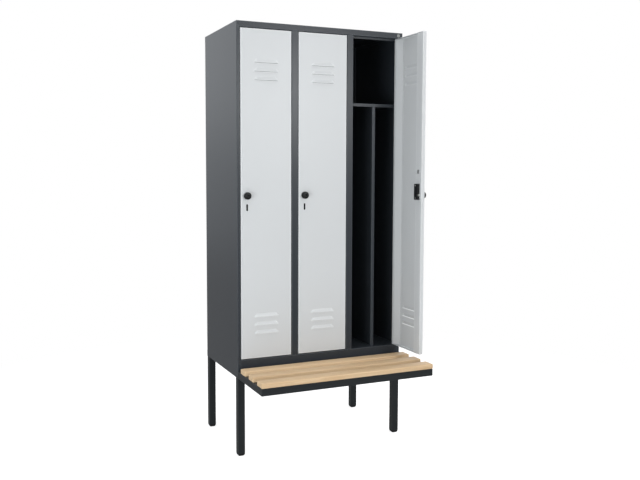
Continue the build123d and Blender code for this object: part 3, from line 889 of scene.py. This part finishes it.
@dataclass
class Bench:
    """The seat: three beech boards on the base rails.

    Attributes:
        edge_round: Radius of the boards' edges.
        edge_steps: Facets on each rounded edge.
    """

    edge_round: float = 0.0045
    edge_steps: int = 4

    def build(self) -> Piece:
        """Make the boards."""
        names = ["slat_front", "slat_middle", "slat_back"]
        boxes = [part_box(name) for name in names]
        low, high = boxes[0]
        pitch = boxes[1][0].y - low.y
        gap = (pitch - (high.y - low.y)) / 2
        values = {
            "Size": tuple(high - low), "First": tuple((low + high) / 2),
            "Step": (0.0, pitch, 0.0), "Count": len(names),
            "Finish": BEECH.material(low.y - gap, pitch),
        }
        piece = boards_tree().grow("bench_boards", [], values)
        bevel = piece.modifiers.new("edge_round", "BEVEL")
        bevel.width = self.edge_round
        bevel.segments = self.edge_steps
        bevel.limit_method = "ANGLE"
        settle(piece, 50.0)
        return hand_over(piece, "carcass", BEECH.slot, *names)


class Stand(Enum):
    """How far a door stands open at rest, in degrees."""

    SHUT = 0.0
    OPEN = 90.0


@dataclass
class Door:
    """One door with its knob and lock.

    Attributes:
        number: Which door, counted from the left.
        stand: How it rests.
        knob_radius: Radius of the turn knob.
        knob_length: How far the knob stands out from its foot.
        knob_rim: Straight side of the knob.
        knob_bulge: How far its shoulder bows out.
        knob_foot: Radius of a ring in its flat foot, as a share of the knob's.
        dish_radius: Radius of the dish in its face.
        dish_depth: Depth of the dish.
        dish_line: Its outline out from the well, as shares of its radius and depth.
        well_share: Radius of the small round well in the dish, as a share of the dish's.
        well_depth: Depth of the well.
        groove: Grip groove in the rim: how far in, and how high as a share of the rim.
        knob_edge: Radius of the knob's small edges.
        spindle_radius: Radius of the spindle behind the knob.
        crank_radius: Radius of the crank disc on the spindle.
        crank_thickness: Thickness of the crank disc.
        pin_radius: Radius of the drive pin on the crank disc.
        pin_length: How far the pin stands out from the disc.
        pin_arm: From the spindle to the pin, across and up.
        case_screw_inset: From the top and bottom of the lock case to its screws.
        case_screw_share: How far across the case the screws are, as a share of its width.
        sides: Facets round the knob, the crank disc and the pin.
        bow_steps: Facets along the knob's shoulder.
    """

    number: int
    stand: Stand
    knob_radius: float = 0.0175
    knob_length: float = 0.023
    knob_rim: float = 0.012
    knob_bulge: float = 0.0030
    knob_foot: float = 0.6
    dish_radius: float = 0.007
    dish_depth: float = 0.0012
    dish_line: Tuple[Pair, ...] = ((0.64, 1.0), (0.82, 0.55))
    well_share: float = 0.60
    well_depth: float = 0.0075
    groove: Tuple[Pair, ...] = ((0, 0.5), (0.0005, 0.42), (0.0005, 0.28), (0, 0.2))
    knob_edge: float = 0.0006
    spindle_radius: float = 0.0048
    crank_radius: float = 0.0119
    crank_thickness: float = 0.0025
    pin_radius: float = 0.0019
    pin_length: float = 0.0037
    pin_arm: float = 0.006
    case_screw_inset: float = 0.008
    case_screw_share: float = 0.66
    sides: Tuple[int, int, int] = (72, 48, 24)
    bow_steps: int = 12
    home: Matrix = field(init=False)

    def __post_init__(self) -> None:
        """Find the turn of the door from its stand."""
        self.home = Matrix.Rotation(math.radians(self.stand.value), 4, "Z")

    def local_box(self, node: str) -> Tuple[Vector, Vector]:
        """Corners of a CAD node with the door's turn taken away."""
        back = self.home.inverted()
        first, second = (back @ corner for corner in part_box(f"{node}_{self.number}"))
        low = Vector([min(a, b) for a, b in zip(first, second)])
        high = Vector([max(a, b) for a, b in zip(first, second)])
        return low, high

    def build(self) -> None:
        """Dress the door's nodes, then make its knob and fasteners."""
        k = self.number
        dress(DOOR_PAINT, f"door_leaf_{k}", f"door_stiffeners_{k}")
        dress(ZINC, f"latch_bolt_{k}")
        dress(SHADE_DARK_ZINC, f"pivot_pins_{k}")
        dress(CASE_PLASTIC, f"lock_case_{k}")
        dress(SLOT_PLASTIC, f"slot_insert_{k}")
        self.add_knob()
        self.add_spindle()
        self.add_case_screws()

    def knob_matrix(self) -> Matrix:
        """Place of the knob's foot, with -Y pointing out of the door."""
        low = self.local_box("turn_knob")[0]
        radius, length = self.knob_radius, self.knob_length
        foot = Vector((low.x + radius, low.y + length, low.z + radius))
        return self.home @ Matrix.Translation(foot)

    def add_knob(self) -> Piece:
        """Make the domed turn knob."""
        length, rim, radius = self.knob_length, self.knob_rim, self.knob_radius
        dish, well = self.dish_radius, length - self.well_depth
        start, end = Vector((dish, length)), Vector((radius, rim))
        chord, middle = end - start, (start + end) / 2
        crest = middle + Vector((-chord.y, chord.x)).normalized() * self.knob_bulge
        corners = [(0.0, well), (dish * self.well_share, well)]
        corners += [(dish * out, length - self.dish_depth * down) for out, down in self.dish_line]
        corners += arc(start, crest * 2 - middle, end, self.bow_steps)
        corners += [(radius - inward, rim * share) for inward, share in self.groove]
        corners += [(radius, 0.0), (radius * self.knob_foot, 0.0), (0.0, 0.0)]
        name, body, node = (f"{word}_{self.number}" for word in ("knob_cap", "knob", "turn_knob"))
        mesh = turned(name, softened(corners, self.knob_edge, 3), self.sides[0])
        piece = finished(name, mesh, self.knob_matrix(), KNOB_PLASTIC)
        return hand_over(piece, body, KNOB_PLASTIC.slot, node)

    def add_spindle(self) -> Piece:
        """Make the spindle behind the knob, its crank disc and its drive pin."""
        low, high = self.local_box("turn_knob")
        reach = high.y - low.y - self.knob_length
        back = reach - self.pin_length
        front = back - self.crank_thickness
        spindle, crank, edge = self.spindle_radius, self.crank_radius, self.knob_edge
        corners = [(0.0, 0.0), (spindle, 0.0), (spindle, -front), (crank, -front)]
        corners += [(crank, -back), (0.0, -back)]
        disc = turned("disc", softened(corners, edge * 2 / 3, 2), self.sides[1])
        root, radius = edge * 2 / 3 - back, self.pin_radius
        corners = [(0.0, root), (radius, root), (radius, -reach), (0.0, -reach)]
        pin = turned("pin", softened(corners, edge / 2, 2), self.sides[2])
        pin.transform(Matrix.Translation((self.pin_arm, 0.0, self.pin_arm)))
        form = bmesh.new()
        form.from_mesh(disc)
        form.from_mesh(pin)
        mesh = bpy.data.meshes.new(f"knob_spindle_{self.number}")
        form.to_mesh(mesh)
        form.free()
        smooth(mesh)
        piece = finished(mesh.name, mesh, self.knob_matrix(), ZINC)
        return hand_over(piece, f"knob_{self.number}", ZINC.slot)

    def add_case_screws(self) -> Piece:
        """Make the two screws that hold the lock case."""
        low, high = self.local_box("lock_case")
        x = low.x + (high.x - low.x) * self.case_screw_share
        y = high.y - SINK
        heights = (high.z - self.case_screw_inset, low.z + self.case_screw_inset)
        places = [(x, y, z) for z in heights]
        name, body = f"case_screws_{self.number}", f"door_{self.number}"
        return CASE_SCREW.scatter(name, places, FACING_REAR, body, self.home)


@dataclass(frozen=True)
class Lamp:
    """A soft lamp.

    Attributes:
        name: Name of the lamp.
        place: Where it stands, in metres.
        aim: What it points at, in metres.
        size: Width and height of its panel, in metres.
        power: Its power, in watts.
        tint: Colour of its light.
    """

    name: str
    place: Triple
    aim: Triple
    size: Pair
    power: float
    tint: Triple = (1.0, 1.0, 1.0)

    def build(self) -> Piece:
        """Put the lamp into the scene, unseen by the camera."""
        data = bpy.data.lights.new(self.name, "AREA")
        data.shape = "RECTANGLE"
        data.size, data.size_y = self.size
        data.energy = self.power
        data.color = self.tint
        made = new_object(self.name, data)
        made.location = self.place
        way = Vector(self.aim) - Vector(self.place)
        made.rotation_euler = way.to_track_quat("-Z", "Y").to_euler()
        made.visible_camera = False
        return made


@dataclass
class Studio:
    """Camera, floor, backdrop and lamps.

    Attributes:
        eye: Where the camera stands, in metres.
        heading: Turn of the camera from +Y towards +X, in degrees.
        dip: How far the camera looks down, in degrees.
        focal: Focal length, in pixels of the photograph.
        centre: Point of the picture that the camera's axis meets, in pixels.
        picture: Width and height of the picture, in pixels.
        sensor: Width of the sensor, in millimetres.
        ambient: Strength of the light from all round.
        sky_tint: Colour of that light.
        walls: How bright the studio's walls shine in glossy paint: low, at the horizon, high.
        wall_rises: How high those three are, as the sine of the angle up.
        wall_tint: Colour of the walls.
        floor_reach: Half the floor's width, in metres.
        floor_drop: How far the floor lies under the feet, in metres.
        floor_grey: How much light the floor throws back.
        floor_glow: Light that the floor gives off besides.
        floor_lift: The same, where the camera looks at it.
        floor_fade: How far out it begins to fade to white, and is white, in metres.
        lamps: The soft lamps.
    """

    eye: Triple = (-1.6439, -3.4986, 1.3888)
    heading: float = 22.915
    dip: float = 4.101
    focal: float = 759.62
    centre: Pair = (285.0, 225.0)
    picture: Pair = (640.0, 480.0)
    sensor: float = 36.0
    ambient: float = 0.50
    sky_tint: Triple = (0.97, 0.985, 1.0)
    walls: Triple = (0.37, 0.82, 1.40)
    wall_rises: Triple = (-0.22, 0.02, 0.09)
    wall_tint: Triple = (0.93, 0.965, 1.0)
    floor_reach: float = 9.0
    floor_drop: float = 0.0002
    floor_grey: float = 0.82
    floor_glow: float = 0.10
    floor_lift: float = 0.74
    floor_fade: Pair = (1.0, 2.6)
    lamps: Tuple[Lamp, ...] = (
        Lamp("front_softbox", (1.27, -3.5, 2.13), (0.0, -0.1, 1.6), (0.6, 0.6), 36.0),
        Lamp("low_front_fill", (-1.0, -4.2, 0.6), (0.0, -0.1, 0.8), (2.2, 2.2), 14.0),
        Lamp("left_fill", (-3.4, -2.2, 0.45), (-0.2, 0, 0.6), (1.6, 1.6), 66.0, (0.90, 0.96, 1)),
        Lamp("top_softbox", (0.0, -0.7, 6.0), (0.0, -0.4, 0.5), (2.6, 2.6), 110.0),
    )

    def build(self) -> None:
        """Set up the whole studio."""
        self.set_world()
        self.add_floor()
        for lamp in self.lamps:
            lamp.build()
        self.add_camera()
        bpy.context.scene.view_settings.view_transform = "Standard"
        log.info("studio with %d lamps", len(self.lamps))

    @staticmethod
    def split_rays(graph: Graph) -> Tuple[Socket, Socket]:
        """Masks of the rays that see white, from the camera or through glass, and of gloss."""
        path = graph.add("ShaderNodeLightPath").outputs
        seen = graph.sum("MAXIMUM", path["Is Camera Ray"], path["Is Transmission Ray"])
        return seen, path["Is Glossy Ray"]

    def set_world(self) -> None:
        """White to look at, soft light on the object, and walls that grade upwards in gloss."""
        world = bpy.data.worlds.new("studio_world")
        bpy.context.scene.world = world
        world.use_nodes = True
        graph = Graph(world.node_tree)
        seen, gloss = self.split_rays(graph)
        way = graph.add("ShaderNodeTexCoord").outputs["Generated"]
        rise = graph.add("ShaderNodeSeparateXYZ", {0: way}).outputs["Z"]
        low, middle, high = self.walls
        first, second, third = self.wall_rises
        lower = graph.span(rise, first, second, low, middle)
        upper = graph.span(rise, second, third, 0.0, high - middle)
        strengths = graph.sum("ADD", lower, upper)
        wall = graph.shine("ShaderNodeBackground", strengths, self.wall_tint)
        light = graph.shine("ShaderNodeBackground", self.ambient, self.sky_tint)
        white = graph.shine("ShaderNodeBackground", 1.0)
        mixed = graph.mix(seen, graph.mix(gloss, light, wall), white)
        graph.add("ShaderNodeOutputWorld", {0: mixed})

    def add_floor(self) -> Piece:
        """Pale floor that keeps the locker's shadow and fades to white far out."""
        reach = self.floor_reach
        mesh = bpy.data.meshes.new("studio_floor")
        corners = [(-reach, -reach), (reach, -reach), (reach, reach), (-reach, reach)]
        mesh.from_pydata([(x, y, -self.floor_drop) for x, y in corners], [], [(0, 1, 2, 3)])
        material, graph, place = new_material("pale_floor")
        far = graph.vector("LENGTH", {0: place}, "Value")
        seen, gloss = self.split_rays(graph)
        lift, white, dull, glow = [
            graph.shine("ShaderNodeEmission", strength)
            for strength in (self.floor_lift, 1.0, self.walls[0], self.floor_glow)
        ]
        grey = (self.floor_grey, self.floor_grey, self.floor_grey, 1.0)
        matt = graph.out("ShaderNodeBsdfDiffuse", {"Color": grey})
        lit = graph.out("ShaderNodeAddShader", {0: lift, 1: matt})
        bounce = graph.out("ShaderNodeAddShader", {0: glow, 1: matt})
        begin, full = self.floor_fade
        faded = graph.mix(graph.span(far, begin, full, 0.0, 1.0), lit, white)
        out = graph.mix(seen, graph.mix(gloss, bounce, dull), faded)
        graph.add("ShaderNodeOutputMaterial", {0: out})
        mesh.materials.append(material)
        floor = new_object("studio_floor", mesh)
        return floor

    def add_camera(self) -> Piece:
        """Put the camera where the photograph was taken from."""
        data = bpy.data.cameras.new("camera")
        data.sensor_width = self.sensor
        data.lens = self.focal / self.picture[0] * self.sensor
        data.shift_x = (self.picture[0] / 2 - self.centre[0]) / self.picture[0]
        data.shift_y = -(self.picture[1] / 2 - self.centre[1]) / self.picture[0]
        camera = new_object("camera", data)
        camera.location = self.eye
        camera.rotation_euler = (math.radians(90 - self.dip), 0.0, -math.radians(self.heading))
        bpy.context.scene.camera = camera
        return camera


def main() -> None:
    """Build the studio, then the locker's sub-assemblies in order."""
    logging.basicConfig(level=logging.INFO, format="%(name)s: %(message)s")
    Studio().build()
    Carcass().build()
    Base().build()
    Bench().build()
    for number, stand in enumerate((Stand.SHUT, Stand.SHUT, Stand.OPEN), 1):
        Door(number, stand).build()


if __name__ == "__main__":
    main()
